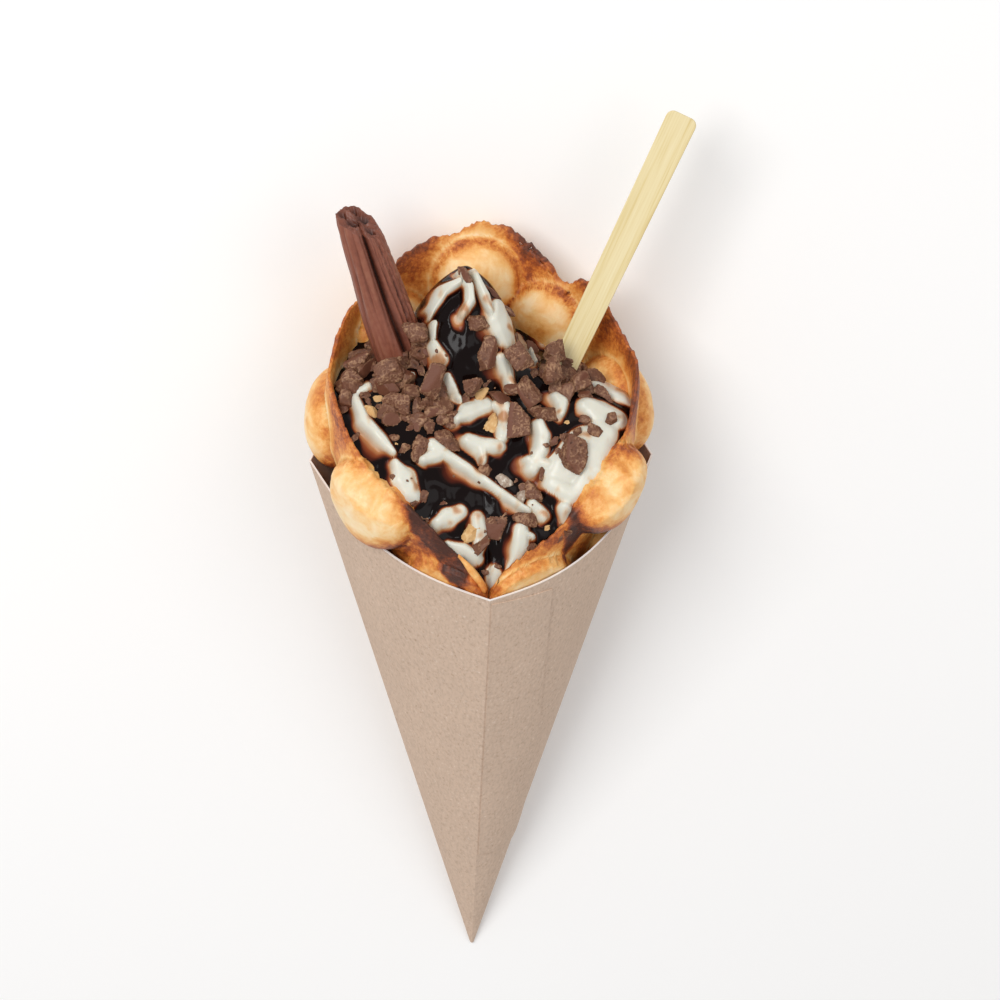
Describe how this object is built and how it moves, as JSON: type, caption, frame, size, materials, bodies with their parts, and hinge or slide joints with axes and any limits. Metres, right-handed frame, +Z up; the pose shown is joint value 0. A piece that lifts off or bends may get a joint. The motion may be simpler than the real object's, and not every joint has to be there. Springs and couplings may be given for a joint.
{
  "type": "bubble waffle",
  "caption": "Bubble waffle rolled into a folded board cone, filled with soft-serve cream, sauce and chocolate pieces, lying on its back.",
  "frame": {"origin": "on the floor, below the centre of the object's box", "axes": "+Y from the mouth along the floor to the cone's tip, +Z up to the front ridge, +X to the right of somebody who looks into the mouth along +Y with the front ridge up"},
  "size_m": [0.1436, 0.3528, 0.0997],
  "materials": {
    "kraft_board": "uncoated kraft board, matte, with fine fibres",
    "waffle_crust": "baked batter, pale cream-yellow on the bubbles, orange-brown to dark brown on the web and rim",
    "cream": "smooth soft-serve cream, faint gloss",
    "chocolate_sauce": "near-black glossy chocolate sauce, red-brown where thin",
    "flaked_chocolate": "rippled milk chocolate, satin",
    "chocolate_chunks": "rough broken milk chocolate",
    "biscuit": "porous biscuit crumb",
    "bamboo": "planed bamboo, fine lengthwise grain, matte"
  },
  "bodies": {
    "root": {"paper_cone": "kraft_board", "waffle": "waffle_crust", "cream": "cream", "chocolate_flake": "flaked_chocolate", "bamboo_stick": "bamboo", "chunk_01": "chocolate_chunks", "chunk_02": "chocolate_chunks", "chunk_03": "chocolate_chunks", "chunk_04": "chocolate_chunks", "chunk_05": "chocolate_chunks", "chunk_06": "chocolate_chunks", "chunk_07": "chocolate_chunks", "chunk_08": "chocolate_chunks", "chunk_09": "chocolate_chunks", "chunk_10": "chocolate_chunks", "chunk_11": "chocolate_chunks", "chunk_12": "chocolate_chunks", "chunk_13": "chocolate_chunks", "chunk_14": "chocolate_chunks", "chunk_15": "chocolate_chunks", "chunk_16": "chocolate_chunks", "chunk_17": "chocolate_chunks", "chunk_18": "chocolate_chunks", "chunk_19": "chocolate_chunks", "chunk_20": "chocolate_chunks"}
  },
  "joints": []
}
